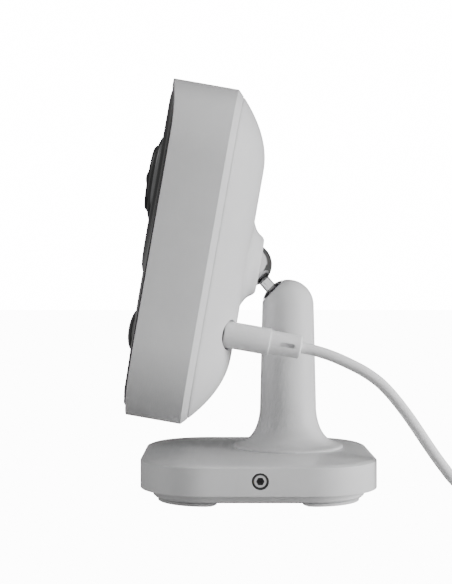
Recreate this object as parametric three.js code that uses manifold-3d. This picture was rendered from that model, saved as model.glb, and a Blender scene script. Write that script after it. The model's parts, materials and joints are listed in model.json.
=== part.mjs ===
// Baby monitor camera: a tilting camera head on a steel ball joint, a weighted desk stand and a power lead.
// Millimetres, +Z up. The origin is on the table, under the middle of the camera. The lens looks to -Y.
import * as THREE from 'three';
import { mergeVertices } from 'three/addons/utils/BufferGeometryUtils.js';
import Module from 'manifold-3d';

const wasm = await Module();
wasm.setup();

// ---------------------------------------------------------------- driving dimensions
const GAP = 0.3; // free space between neighbouring pieces
const WALL = 2.2; // moulded wall of the housings
const ROUND = 24; // sides of most turned pieces
const SMALL_ROUND = 12; // sides of screws and other small turned pieces

const BALL_HEIGHT = 75.3; // ball centre above the table
const BALL_BACK = 1.1; // ball centre behind the origin
const BALL_RADIUS = 7.3;
const HEAD_LEAN = 10; // degrees that the head leans back at rest
const NECK_ANGLE = 49; // degrees that the ball's neck points down and back
const NECK_RADIUS = 1.95;

const HEAD_HALF_WIDTH = 42;
const HEAD_HALF_HEIGHT = 54.1;
const HEAD_CORNER = 25;
const HEAD_CENTRE_UP = -0.4; // middle of the head above the ball centre, along the head's own up
const LIP = -31; // front lip of the housing, along the head's own back direction
const RIM = -13.4; // where the side wall ends and the rear curve starts
const REAR_RISE = 12.2; // height of the rear curve
const REAR_RUN = 24; // how far in from the side wall the rear curve reaches its flat middle
const BAND = 1.9; // how far in the housing runs before the groove to the rear cover
const LIP_CROWN = 4.5; // how far the lip swells forward in the middle of the top edge
const LEDGE_CROWN = 2.7; // the same for the ledge behind the front panel
const LEDGE = -29; // front face of that ledge
const LEDGE_DEEP = 4.6; // how far in from the side wall the ledge reaches
const CROWN_FROM = 22; // height on the head where the lip's swell starts, and where it is full
const CROWN_TO = 52;

const LENS_UP = 22.7;
const LENS_DISC = 33; // radius of the raised round field around the lens
const DISC_EDGE = 3.5; // width of the slope round that field
const MOTION_UP = -28;
const PANEL_INSET = 1.9;
const PANEL_THICK = 2;
const PANEL_CROWN = 3;
const PANEL_SINK = 0.55; // how far the front of the panel drops back at its lower edge
const DISC_RAISE = 1.1;

const JACK_SIDE = 27;
const JACK_UP = -23.4;
const JACK_HOLE = 4.8;
const JACK_RADIUS = 4.6;
const PIN_RADIUS = 0.9;
const BOOT_RADIUS = 4.2;
const BOOT_STEP = 9.6; // where the boot narrows to its strain relief

const BASE_HALF = 37.75;
const BASE_CORNER = 21;
const BASE_BACK = 3.4; // base centre behind the origin
const BASE_BOTTOM = 4;
const BASE_TOP = 14.5;
const BASE_CEILING = BASE_TOP - 2.7;
const PLATE_BOTTOM = 1.3;
const WALL_SCREW_SIDE = 15; // half the distance between the bottom plate's two wall holes
const FOOT_HEIGHT = 1;
const FOOT_INSET = 5.6; // from the base's outline to the pads
const FOOT_WIDTH = 6;
const FOOT_START = 13.2; // each pad keeps this far from the middle of the base
const LOCK_HEIGHT = 8.7; // lock screw axis above the table

const PILLAR_BACK = 13.7;
const PILLAR_TOP_RADIUS = 8.6;
const PILLAR_CAP_HEIGHT = 61.7; // centre of the pillar's round top
const FLANGE_RADIUS = 18.2;
const SEAT_OUT = 6.9; // centre of the round top to its slanted seat
const CAP_OUT = 7.15; // centre of the round top to the back of the dark cap on the seat
const NECK_HOLE = NECK_RADIUS + 0.25;
const PILLAR_SCREW_OUT = 11;

const CORD_RADIUS = 1.75;
const COIL_BACK = 110;
const COIL_SIDE = 2.8;
const COIL_INNER = 13;
const COIL_OUTER = 27;
const COIL_TOP = 12.4;

// ---------------------------------------------------------------- materials
function material(color, roughness, metalness = 0) {
  return new THREE.MeshStandardMaterial({ color, roughness, metalness });
}
const WHITE = material(0xd9dadb, 0.5);
const LIGHT_GREY = material(0xc9cacb, 0.5);
const PIANO = material(0x141416, 0.12);
const BLACK = material(0x17181a, 0.45);
const RUBBER = material(0x222325, 0.8);
const PALE_RUBBER = material(0xb4b5b6, 0.8);
const NYLON = material(0xe8e6de, 0.4);
const SILVER = material(0xb9bbbf, 0.25, 1);
const CHROME = material(0xdfe1e4, 0.08, 1);
const STEEL = material(0x8f9296, 0.35, 1);
const BRASS = material(0xb08d4a, 0.35, 1);
const ALUMINIUM = material(0xa9acb0, 0.4, 1);
const BOARD = material(0x1f5a3a, 0.5);
const GLASS = material(0x0b0c12, 0.03);

// ---------------------------------------------------------------- solids
function solid(geometry) {
  const plain = geometry.clone();
  plain.deleteAttribute('normal');
  plain.deleteAttribute('uv');
  const merged = mergeVertices(plain, 1e-4);
  const corners = merged.index.array;
  const kept = [];
  for (let i = 0; i < corners.length; i += 3) {
    const [a, b, c] = corners.slice(i, i + 3);
    if (a !== b && b !== c && c !== a) kept.push(a, b, c);
  }
  return new wasm.Manifold(
    new wasm.Mesh({
      numProp: 3,
      vertProperties: new Float32Array(merged.attributes.position.array),
      triVerts: new Uint32Array(kept),
    }),
  );
}

function geometryOf(body) {
  const made = body.getMesh();
  const geometry = new THREE.BufferGeometry();
  geometry.setAttribute('position', new THREE.Float32BufferAttribute(made.vertProperties, 3));
  geometry.setIndex(Array.from(made.triVerts));
  geometry.computeVertexNormals();
  return geometry;
}

function mesh(name, body, look) {
  const made = new THREE.Mesh(geometryOf(body), look);
  made.name = name;
  return made;
}

function cutBy(body, ...tools) {
  return tools.reduce((left, tool) => left.subtract(tool), body);
}

function joined(body, ...others) {
  return others.reduce((all, other) => all.add(other), body);
}

// A turned body around Y from [radius, along] points. It is moved to (x, z).
function turned(points, sides = ROUND, x = 0, z = 0) {
  const outline = points.map(([radius, along]) => new THREE.Vector2(radius, along));
  return solid(new THREE.LatheGeometry(outline, sides).translate(x, 0, z));
}

// A plain round bar around Y, from one end to the other.
function bar(radius, from, to, sides = SMALL_ROUND, x = 0, z = 0) {
  const made = new THREE.CylinderGeometry(radius, radius, to - from, sides);
  return solid(made.translate(x, (from + to) / 2, z));
}

function block(width, depth, height, x, y, z) {
  return solid(new THREE.BoxGeometry(width, depth, height).translate(x, y, z));
}

// Arc points [radius, along] of a sphere's section around the origin, by angle from -Y in degrees.
function arc(radius, from, to, steps) {
  const points = [];
  for (let i = 0; i <= steps; i++) {
    const angle = THREE.MathUtils.degToRad(from + ((to - from) * i) / steps);
    points.push([Math.max(0, radius * Math.sin(angle)), -radius * Math.cos(angle)]);
  }
  return points;
}

// ---------------------------------------------------------------- rounded rectangular bodies
const TOP_STEPS = 2;
const ARC_STEPS = 5;
const SIDE_STEPS = 2;
const LOOP = 4 * (TOP_STEPS + ARC_STEPS + SIDE_STEPS);
const POLE = Infinity;
const SHARPEST = 0.6;

// The points of a rounded rectangle, from the middle of its top edge towards +X.
function loop(halfWidth, halfHeight, corner) {
  const quarter = [];
  const straightX = halfWidth - corner;
  const straightZ = halfHeight - corner;
  for (let i = 0; i < TOP_STEPS; i++) quarter.push([(straightX * i) / TOP_STEPS, halfHeight]);
  for (let i = 0; i < ARC_STEPS; i++) {
    const angle = (Math.PI / 2) * (i / ARC_STEPS);
    quarter.push([straightX + corner * Math.sin(angle), straightZ + corner * Math.cos(angle)]);
  }
  for (let i = 0; i <= SIDE_STEPS; i++) {
    quarter.push([halfWidth, straightZ * (1 - i / SIDE_STEPS)]);
  }
  const there = quarter.slice(0, -1);
  const back = quarter.slice(1).reverse();
  const signed = (points, sx, sz) => points.map(([x, z]) => [x * sx, z * sz]);
  return [...there, ...signed(back, 1, -1), ...signed(there, -1, -1), ...signed(back, -1, 1)];
}

// A lathe body around Y whose rings are pushed out to rounded rectangles. Each profile point is
// [inset from the outline, along Y]; an inset of POLE is a point on the axis.
function boxy(profile, halfWidth, halfHeight, corner, lift = () => 0) {
  const rings = profile.map(([inset]) =>
    inset === POLE ? null : loop(halfWidth - inset, halfHeight - inset, Math.max(corner - inset, SHARPEST)),
  );
  const outline = profile.map(([inset, along]) => new THREE.Vector2(inset === POLE ? 0 : 1, along));
  const geometry = new THREE.LatheGeometry(outline, LOOP);
  const place = geometry.attributes.position;
  for (let i = 0; i <= LOOP; i++) {
    for (let j = 0; j < profile.length; j++) {
      const [x, z] = rings[j] ? rings[j][i % LOOP] : [0, 0];
      place.setXYZ(i * profile.length + j, x, profile[j][1] + lift(x, z, profile[j][1]), z);
    }
  }
  return geometry;
}

// ---------------------------------------------------------------- camera head
// Head pieces are drawn with the ball centre at the origin: X to the side, Y to the back, Z up.
function headBoxy(profile, lift) {
  const made = boxy(profile, HEAD_HALF_WIDTH, HEAD_HALF_HEIGHT, HEAD_CORNER, lift);
  return solid(made.translate(0, 0, HEAD_CENTRE_UP));
}

function smooth(from, to, value) {
  return THREE.MathUtils.smoothstep(value, from, to);
}

// How far the lip of the housing, and the ledge behind it, swell forward at a point of the front.
function lipSwell(x, up, along) {
  if (along > LEDGE + GAP) return 0;
  const crown = along < LEDGE ? LIP_CROWN : LEDGE_CROWN;
  const across = 1 - (x / HEAD_HALF_WIDTH) ** 2;
  return -crown * across * smooth(CROWN_FROM, CROWN_TO, up);
}

// How far the dark front panel swells forward.
function panelSwell(x, up, along) {
  const across = 1 - (x / (HEAD_HALF_WIDTH - 1)) ** 2;
  const ending = 1 - 0.35 * smooth(15, 48, -up) - 0.55 * smooth(49, 52.4, -up);
  const fromLens = Math.hypot(x, up + HEAD_CENTRE_UP - LENS_UP);
  const disc = 1 - smooth(LENS_DISC - DISC_EDGE, LENS_DISC, fromLens);
  const sunk = along < LIP ? PANEL_SINK * smooth(44, 50, -up) : 0;
  return sunk - PANEL_CROWN * across * ending - DISC_RAISE * disc;
}

// The rear curve's place along Y at an inset from the side wall.
function rearCurve(inset) {
  return RIM + REAR_RISE * (1 - (1 - Math.min(inset, REAR_RUN) / REAR_RUN) ** 2);
}

const HOUSING_SCREWS = [
  [29.5, 41.2],
  [-29.5, 41.2],
  [29.5, -42],
  [-29.5, -42],
];
const CUP_SCREWS = [
  [16, 0],
  [-16, 0],
];
const BOARD_SCREWS = [
  [29.5, 8],
  [-29.5, 8],
];
const LUG_FRONT = -27.8;
const LUG_BACK = -26.3;

function frontHousing() {
  const shell = headBoxy(
    [
      [0, LIP],
      [0, RIM],
      [BAND, rearCurve(BAND)],
      [WALL, rearCurve(BAND) - 0.4],
      [WALL, -26.6],
      [LEDGE_DEEP, LUG_FRONT],
      [LEDGE_DEEP, LEDGE],
      [PANEL_INSET - GAP, LEDGE],
      [PANEL_INSET - GAP, LIP],
      [0.5, LIP - 0.3],
      [0, LIP],
    ],
    lipSwell,
  );
  const lugs = HOUSING_SCREWS.map(([x, z]) => bar(3.6, LUG_FRONT, LUG_BACK, SMALL_ROUND, x, z));
  const holes = HOUSING_SCREWS.map(([x, z]) => bar(1.4, -30, -25, SMALL_ROUND, x, z));
  const inside = headBoxy([
    [POLE, -29.5],
    [0.8, -29.5],
    [0.8, -20],
    [POLE, -20],
  ]);
  const trimmed = lugs.map((lug) => lug.intersect(inside));
  return mesh('front_housing', cutBy(joined(shell, ...trimmed), ...holes), WHITE);
}

function frontPanel() {
  const insets = [26, 18, 12, 7.5, 4, PANEL_INSET];
  const front = insets.map((inset) => [inset, LIP - GAP]);
  const back = insets.map((inset) => [inset, LIP - GAP + PANEL_THICK]).reverse();
  const plate = headBoxy(
    [[POLE, LIP - GAP], ...front, ...back, [POLE, LIP - GAP + PANEL_THICK]],
    panelSwell,
  );
  const lensHole = bar(14.25 + GAP, -40, -20, 32, 0, LENS_UP);
  const motionHole = bar(7.1 + GAP, -40, -20, 24, 0, MOTION_UP);
  return mesh('front_panel', cutBy(plate, lensHole, motionHole), PIANO);
}

function rearCover() {
  const inner = [REAR_RUN, 19, 14, 10, 7];
  const outer = [BAND + 0.6, 4.5, 7, 10, 14, 19, REAR_RUN];
  const shell = headBoxy([
    [POLE, rearCurve(REAR_RUN) - 2],
    ...inner.map((inset) => [inset, rearCurve(inset) - 2]),
    [4.3, rearCurve(4.3) - 2.2],
    [4.3, -15],
    [BAND + 0.6, -15],
    ...outer.map((inset) => [inset, rearCurve(inset)]),
    [POLE, rearCurve(REAR_RUN)],
  ]);
  const boss = turned(
    [
      [0, -2.6],
      [15.6, -2.6],
      [15.4, -1.2],
      [12.6, -0.4],
      [10.9, 0.9],
      [10, 2.2],
      [9.5, 2.9],
      [8.8, 3.2],
      [0, 3.2],
    ],
    28,
  );
  const within = headBoxy([
    [POLE, -28],
    [BAND + 1, -28],
    ...outer.map((inset) => [inset + 0.4, rearCurve(inset) - 0.9]),
    [POLE, rearCurve(REAR_RUN) - 0.9],
  ]);
  const post = (radius, front) => ([x, z]) => bar(radius, front, 0, SMALL_ROUND, x, z).intersect(within);
  const posts = [
    ...HOUSING_SCREWS.map(post(2.9, -26)),
    ...CUP_SCREWS.map(post(2.8, -13.2)),
    ...BOARD_SCREWS.map(post(2.4, -17.7)),
  ];
  const socket = turned(
    [
      [0, -6],
      [12.8, -6],
      [12.8, -0.6],
      [9.7, -0.6],
      [9.7, 0.4],
      [7.58, 0.6],
      [7.35, 1.9],
      [7.1, 2.7],
      [8.2, 3.3],
      [8.4, 4],
      [0, 4],
    ],
    28,
  );
  const jackHole = bar(JACK_HOLE, -12, 2, 24, JACK_SIDE, JACK_UP);
  const pilots = [
    ...HOUSING_SCREWS.map(([x, z]) => bar(1.25, -27, -16, SMALL_ROUND, x, z)),
    ...CUP_SCREWS.map(([x, z]) => bar(1.1, -14, -7, SMALL_ROUND, x, z)),
    ...BOARD_SCREWS.map(([x, z]) => bar(1.1, -18, -11, SMALL_ROUND, x, z)),
  ];
  const body = joined(shell, boss, ...posts);
  return mesh('rear_cover', cutBy(body, socket, jackHole, ...pilots), WHITE);
}

function lensPieces() {
  const collar = turned(
    [
      [14.25, -36],
      [14.25, -30.5],
      [11.4, -30.5],
      [11.4, -36.6],
      [11.8, -36.9],
      [14.25, -36],
    ],
    32,
    0,
    LENS_UP,
  );
  const hood = turned(
    [
      [11.1, -37.5],
      [11.1, -31],
      [6.3, -31],
      [6.3, -33],
      [4.75, -33.4],
      [4.75, -36],
      [9.6, -38.2],
      [10.4, -38.2],
      [11.1, -37.5],
    ],
    32,
    0,
    LENS_UP,
  );
  const glass = turned(
    [
      [0, -39.4],
      [1.6, -39.1],
      [3, -38.2],
      [4, -36.9],
      [4.4, -35.6],
      [4.4, -33],
      [0, -33],
    ],
    24,
    0,
    LENS_UP,
  );
  const barrel = turned(
    [
      [0, -32.7],
      [6, -32.7],
      [6, -24],
      [7.4, -23.6],
      [7.4, -21.8],
      [0, -21.8],
    ],
    24,
    0,
    LENS_UP,
  );
  return [
    mesh('lens_collar', collar, SILVER),
    mesh('lens_hood', hood, BLACK),
    mesh('lens_glass', glass, GLASS),
    mesh('lens_barrel', barrel, BLACK),
    mesh('image_sensor_board', block(26, 1.2, 26, 0, -20.9, LENS_UP), BOARD),
  ];
}

function nightVisionPieces() {
  const board = block(52, 1, 24, 0, -29.7, LENS_UP).subtract(bar(8, -32, -28, 24, 0, LENS_UP));
  const led = (side) => {
    const points = [
      [0, -32.1],
      [1.6, -31.9],
      [2.5, -31.4],
      [2.5, -30.5],
      [0, -30.5],
    ];
    return turned(points, SMALL_ROUND, side * 19.5, LENS_UP);
  };
  return [
    mesh('infrared_board', board, BOARD),
    mesh('infrared_led_left', led(-1), GLASS),
    mesh('infrared_led_right', led(1), GLASS),
    mesh('light_sensor', block(3, 1.1, 3, 21, -31.1, 13.5), BLACK),
  ];
}

function motionPieces() {
  const dome = turned(
    [
      [0, -36.3],
      [3, -36.1],
      [5.4, -35.5],
      [6.7, -34.7],
      [7.1, -33.8],
      [7.1, -30.9],
      [6.1, -30.9],
      [6.1, -33.6],
      [3.6, -34.7],
      [0, -35],
    ],
    24,
    0,
    MOTION_UP,
  );
  return [
    mesh('motion_sensor_dome', dome, PIANO),
    mesh('motion_sensor', bar(4.6, -33, -28.4, 20, 0, MOTION_UP), STEEL),
    mesh('front_sensor_board', block(36, 1, 15, 0, -27.6, MOTION_UP), BOARD),
    mesh('microphone', bar(2, -29.6, -28.4, SMALL_ROUND, 13, MOTION_UP), ALUMINIUM),
  ];
}

function electronics() {
  const speaker = turned(
    [
      [0, -24.6],
      [5, -25.4],
      [11, -26.9],
      [13, -26.9],
      [13, -25.6],
      [9.5, -22.6],
      [7.5, -22.4],
      [7.5, -19.9],
      [0, -19.9],
    ],
    24,
    0,
    -36,
  );
  const boardHoles = BOARD_SCREWS.map(([x, z]) => bar(1.3, -21, -17, SMALL_ROUND, x, z));
  const base = block(18, 1.4, 18, 10, -20.6, -8);
  const fins = [-8.1, -4.05, 0, 4.05, 8.1].map((x) => block(1.6, 3.4, 18, 10 + x, -22.7, -8));
  return [
    mesh('speaker', speaker, BLACK),
    mesh('main_board', cutBy(block(66, 1.6, 70, 0, -18.8, -3), ...boardHoles), BOARD),
    mesh('wireless_module', block(16, 2.2, 14, -22, -21, -2), STEEL),
    mesh('heat_sink', joined(base, ...fins), ALUMINIUM),
    mesh('antenna', block(30, 5, 0.8, 0, -22, 50.3), BRASS),
  ];
}

// The friction socket: a cup pressed on the ball by a spring washer under a screwed plate.
function socketPieces() {
  const seat = arc(BALL_RADIUS + 2.25, 84, 0, 7);
  const cup = turned([[0, -11.8], [12.5, -11.8], [12.5, -0.95], ...seat], 32);
  const spring = turned(
    [
      [11, -12.9],
      [11, -12.2],
      [5, -12.5],
      [5, -13.2],
      [11, -12.9],
    ],
    24,
  );
  const ears = block(26, 1.7, 11, 0, -14.35, 0);
  const plate = joined(ears, ...[13, 16, -13, -16].map((x) => bar(5.5, -15.2, -13.5, 24, x, 0)));
  const plateHoles = CUP_SCREWS.map(([x, z]) => bar(1.5, -16, -13, SMALL_ROUND, x, z));
  return [
    mesh('ball_cup', cup, NYLON),
    mesh('cup_spring', spring, STEEL),
    mesh('cup_plate', cutBy(plate, bar(3, -16, -13, SMALL_ROUND), ...plateHoles), STEEL),
  ];
}

// A pan-head screw around Y with its head at the front: the head's front, its back and the tip.
function screwAlongY(name, x, z, front, under, tip, headRadius, shankRadius) {
  const points = [
    [0, front],
    [headRadius * 0.75, front],
    [headRadius, front + 0.35],
    [headRadius, under],
    [shankRadius, under],
    [shankRadius, tip - 0.6],
    [0, tip],
  ];
  return mesh(name, turned(points, SMALL_ROUND, x, z), STEEL);
}

function headScrews() {
  const housing = HOUSING_SCREWS.map(([x, z], i) =>
    screwAlongY(`housing_screw_${i + 1}`, x, z, -29, -28, -17, 2.3, 1.1),
  );
  const cup = CUP_SCREWS.map(([x, z], i) =>
    screwAlongY(`cup_screw_${i + 1}`, x, z, -16.5, -15.4, -8, 2.2, 0.95),
  );
  const board = BOARD_SCREWS.map(([x, z], i) =>
    screwAlongY(`board_screw_${i + 1}`, x, z, -20.9, -19.8, -12, 2.1, 0.95),
  );
  return [...housing, ...cup, ...board];
}

function powerPieces() {
  const jack = turned(
    [
      [0, -17.7],
      [JACK_RADIUS, -17.7],
      [JACK_RADIUS, -6.6],
      [JACK_RADIUS - 1.5, -6.6],
      [JACK_RADIUS - 1.5, -15.6],
      [PIN_RADIUS, -15.6],
      [PIN_RADIUS, -7.4],
      [0, -7.1],
    ],
    24,
    JACK_SIDE,
    JACK_UP,
  );
  const ring = turned(
    [
      [6.2, -10.4],
      [6.2, -8.6],
      [4.9, -8.6],
      [4.9, -10.4],
      [6.2, -10.4],
    ],
    24,
    JACK_SIDE,
    JACK_UP,
  );
  const barrel = turned(
    [
      [2.75, -14],
      [2.75, -5.3],
      [1.25, -5.3],
      [1.25, -14],
      [2.75, -14],
    ],
    20,
    JACK_SIDE,
    JACK_UP,
  );
  const boot = turned(
    [
      [0, -5],
      [BOOT_RADIUS - 0.3, -5],
      [BOOT_RADIUS, -4.7],
      [BOOT_RADIUS, BOOT_STEP - 0.3],
      [BOOT_RADIUS - 0.3, BOOT_STEP],
      [3.7, BOOT_STEP],
      [3.3, 18.4],
      [2.4, 19.5],
      [0, 19.5],
    ],
    24,
    JACK_SIDE,
    JACK_UP,
  );
  return [
    mesh('dc_jack', jack, BLACK),
    mesh('jack_ring', ring, BLACK),
    mesh('plug_barrel', barrel, SILVER),
    mesh('plug_boot', boot, LIGHT_GREY),
  ];
}

// Two thin friction shells float between ball and cup, so each takes up part of the ball joint's turn.
function linerPieces() {
  const shell = (inner, outer, reach) =>
    turned([...arc(outer, 0, reach, 6), ...arc(inner, reach, 0, 6)], 20);
  const between = BALL_RADIUS + 1.05;
  return [
    mesh('inner_liner', shell(BALL_RADIUS + GAP, between, 52), NYLON),
    mesh('outer_liner', shell(between + GAP, between + 0.9, 84), NYLON),
  ];
}

// ---------------------------------------------------------------- stand
// Turned and boxy stand pieces are drawn around Y and stood up, so that Y becomes +Z.
function stood(geometry, x, y) {
  return solid(geometry.rotateX(Math.PI / 2).translate(x, y, 0));
}

function stoodTurned(points, sides, x, y) {
  const outline = points.map(([radius, height]) => new THREE.Vector2(radius, height));
  return stood(new THREE.LatheGeometry(outline, sides), x, y);
}

function stoodBar(radius, from, to, x, y, sides = SMALL_ROUND) {
  const made = new THREE.CylinderGeometry(radius, radius, to - from, sides);
  return stood(made.translate(0, (from + to) / 2, 0), x, y);
}

function barAlongX(radius, from, to, sides = 24) {
  const made = new THREE.CylinderGeometry(radius, radius, to - from, sides).rotateZ(Math.PI / 2);
  return solid(made.translate((from + to) / 2, BASE_BACK, LOCK_HEIGHT));
}

function pillarScrewPlaces() {
  return [PILLAR_SCREW_OUT, -PILLAR_SCREW_OUT].map((x) => [x, PILLAR_BACK]);
}

function baseShell() {
  const profile = [
    [POLE, BASE_CEILING],
    [WALL + 1, BASE_CEILING],
    [WALL, BASE_CEILING - 1],
    [WALL, BASE_BOTTOM],
    [0, BASE_BOTTOM],
    [0, 12.4],
    [0.3, 12.9],
    [1.3, 13.4],
    [3, 13.75],
    [7, 14.15],
    [12, BASE_TOP],
    [POLE, BASE_TOP],
  ];
  const shell = stood(boxy(profile, BASE_HALF, BASE_HALF, BASE_CORNER), 0, BASE_BACK);
  const nutBoss = barAlongX(4.3, 30.4, 36.5).intersect(block(20, 20, 7.6, 33, BASE_BACK, 8.2));
  const rib = block(5.1, 8, 2, 32.95, BASE_BACK, BASE_CEILING - 0.5);
  const holes = pillarScrewPlaces().map(([x, y]) => stoodBar(1.5, 8, 16, x, y));
  const body = joined(shell, nutBoss, rib);
  const cut = cutBy(body, ...holes, barAlongX(3.2, 29, 35.6), barAlongX(2.8, 35, 39));
  return mesh('base_shell', cut, WHITE);
}

function baseInsides() {
  const weightProfile = [
    [POLE, 5.6],
    [0, 5.6],
    [0, 10.9],
    [0.6, 11.4],
    [POLE, 11.4],
  ];
  const weight = stood(boxy(weightProfile, 25.2, 30, 14), 0, BASE_BACK);
  const wells = pillarScrewPlaces().map(([x, y]) => stoodBar(3.1, 4, 13, x, y));
  const plateProfile = [
    [POLE, PLATE_BOTTOM],
    [4.7, PLATE_BOTTOM],
    [4, 1.9],
    [4, 3.7],
    [WALL + GAP, 4.3],
    [WALL + GAP, 5.2],
    [POLE, 5.2],
  ];
  const plate = stood(boxy(plateProfile, BASE_HALF, BASE_HALF, BASE_CORNER), 0, BASE_BACK);
  const lug = block(3, 10, 7, 28.3, BASE_BACK, 7.9);
  const wallHoles = [WALL_SCREW_SIDE, -WALL_SCREW_SIDE].map((x) => stoodBar(2.1, 0, 6, x, BASE_BACK));
  const notch = block(8, 10, 3, 34.1, BASE_BACK, 5.6);
  const plateCuts = [barAlongX(1.9, 26, 31), notch, ...wallHoles];
  return [
    mesh('base_weight', cutBy(weight, ...wells), STEEL),
    mesh('bottom_plate', cutBy(joined(plate, lug), ...plateCuts), WHITE),
  ];
}

// A pad that follows the bottom plate's outline round one half of the base.
function footPad(name, side) {
  const outline = (inset, low, high) => {
    const profile = [
      [POLE, low],
      [inset, low],
      [inset, high],
      [POLE, high],
    ];
    return stood(boxy(profile, BASE_HALF, BASE_HALF, BASE_CORNER), 0, BASE_BACK);
  };
  const inside = outline(FOOT_INSET + FOOT_WIDTH, -FOOT_HEIGHT, 2 * FOOT_HEIGHT);
  const ring = outline(FOOT_INSET, 0, FOOT_HEIGHT).subtract(inside);
  const middle = BASE_BACK + side * (FOOT_START + BASE_HALF / 2);
  const half = block(2 * BASE_HALF, BASE_HALF, 4 * FOOT_HEIGHT, 0, middle, 0);
  return mesh(name, ring.intersect(half), PALE_RUBBER);
}

// The pillar's outside: a flange on the base, a hollow curve up to a slim tapered post, a round top.
function pillarOutside() {
  const flare = new THREE.QuadraticBezierCurve(
    new THREE.Vector2(FLANGE_RADIUS - 0.2, 15.4),
    new THREE.Vector2(10.3, 16.4),
    new THREE.Vector2(9.4, 27),
  );
  const cap = [];
  for (let i = 0; i <= 7; i++) {
    const angle = (Math.PI / 2) * (i / 7);
    cap.push([PILLAR_TOP_RADIUS * Math.cos(angle), PILLAR_CAP_HEIGHT + PILLAR_TOP_RADIUS * Math.sin(angle)]);
  }
  cap[cap.length - 1][0] = 0;
  const curve = flare.getPoints(7).map((point) => [point.x, point.y]);
  return [[FLANGE_RADIUS, BASE_TOP + GAP], [FLANGE_RADIUS, BASE_TOP + 0.7], ...curve, ...cap];
}

// A body around Y, moved so that its axis is the ball's neck and its zero is the ball centre.
function alongNeck(geometry) {
  const turn = THREE.MathUtils.degToRad(-NECK_ANGLE);
  return solid(geometry.rotateX(turn).translate(0, BALL_BACK, BALL_HEIGHT));
}

function neckLathe(points, sides = 24) {
  const outline = points.map(([radius, along]) => new THREE.Vector2(radius, along));
  return alongNeck(new THREE.LatheGeometry(outline, sides));
}

// A body around Y, moved so that its axis leans 45 degrees to the front through the pillar's round centre.
function onSeat(points, sides = 28) {
  const outline = points.map(([radius, along]) => new THREE.Vector2(radius, along));
  const geometry = new THREE.LatheGeometry(outline, sides).rotateX((3 * Math.PI) / 4);
  return solid(geometry.translate(0, PILLAR_BACK, PILLAR_CAP_HEIGHT));
}

function pillar() {
  const post = stoodTurned([[0, BASE_TOP + GAP], ...pillarOutside()], 28, 0, PILLAR_BACK);
  const hollow = stoodTurned(
    [
      [0, 14],
      [6.2, 14],
      [6.2, 46],
      [5.4, 51],
      [3.4, 54],
      [0, 55],
    ],
    24,
    0,
    PILLAR_BACK,
  );
  const seat = onSeat([
    [0, SEAT_OUT],
    [12, SEAT_OUT],
    [12, SEAT_OUT + 8],
    [0, SEAT_OUT + 8],
  ]);
  const socket = neckLathe([
    [0, 5],
    [NECK_HOLE, 5],
    [NECK_HOLE, 20.4],
    [0, 20.9],
  ]);
  const pilots = pillarScrewPlaces().map(([x, y]) => stoodBar(1.25, 14, 18.4, x, y));
  return mesh('pillar', cutBy(post, hollow, seat, socket, ...pilots), WHITE);
}

function ballStud() {
  const ball = arc(BALL_RADIUS, 0, 164, 12);
  const points = [
    ...ball,
    [NECK_RADIUS, 7.1],
    [NECK_RADIUS, 12.2],
    [NECK_RADIUS - 0.1, 12.6],
    [NECK_RADIUS - 0.1, 19.6],
    [0, 20],
  ];
  return mesh('ball_stud', neckLathe(points, 28), CHROME);
}

// A dark cap completes the pillar's round top over the slanted seat, with a hole for the neck.
function studCap() {
  const dome = [];
  const half = Math.acos(CAP_OUT / PILLAR_TOP_RADIUS);
  for (let i = 0; i <= 5; i++) {
    const angle = half * (1 - i / 5);
    dome.push([PILLAR_TOP_RADIUS * Math.sin(angle), PILLAR_TOP_RADIUS * Math.cos(angle)]);
  }
  const cap = onSeat([[0, CAP_OUT], ...dome]);
  const hole = neckLathe([
    [0, 5],
    [NECK_HOLE, 5],
    [NECK_HOLE, 16],
    [0, 16],
  ]);
  return mesh('stud_cap', cap.subtract(hole), BLACK);
}

function pillarScrews() {
  return pillarScrewPlaces().map(([x, y], i) => {
    const points = [
      [0, 9.2],
      [2.1, 9.2],
      [2.7, 9.6],
      [2.7, 11.5],
      [1.1, 11.5],
      [1.1, 17.4],
      [0, 18],
    ];
    return mesh(`pillar_screw_${i + 1}`, stoodTurned(points, SMALL_ROUND, x, y), STEEL);
  });
}

// The lock screw enters the base from its side, through a brass insert, into the bottom plate's lug.
function lockPieces() {
  const head = barAlongX(1.8, 36, 37.5);
  const shank = barAlongX(1.5, 27.8, 36.2);
  const socket = barAlongX(1.2, 36.4, 38, 6);
  const ring = barAlongX(2.5, 35.95, 37.75).subtract(barAlongX(2.05, 35, 39));
  const insert = barAlongX(2.9, 30.7, 35.3).subtract(barAlongX(1.75, 30, 36));
  return [
    mesh('lock_ring', ring, RUBBER),
    mesh('lock_insert', insert, BRASS),
    mesh('lock_screw', cutBy(joined(head, shank), socket), STEEL),
  ];
}

// ---------------------------------------------------------------- power lead
// The lead's route, in millimetres: out of the boot, down in a free curve, and onto the table.
const LEAD_ROUTE = [
  [27, 16.6, 48.8],
  [27, 21.2, 47.7],
  [27, 26.1, 46.1],
  [27, 31.1, 43.9],
  [27, 36.1, 41.3],
  [27, 40.4, 38.3],
  [27, 43.5, 35.3],
  [27, 46.4, 31.9],
  [27, 49.3, 28.1],
  [27, 52.1, 24.1],
  [27, 54.9, 19.9],
  [27, 57.7, 15.8],
  [27, 60.6, 11.8],
  [27, 63.6, 8],
  [27, 67.1, 4.8],
  [27.2, 71.5, 2.7],
  [27.5, 77.5, 1.85],
  [27.8, 84, 1.8],
  [28, 90, 1.8],
  [28, 95.8, 1.8],
];

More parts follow.
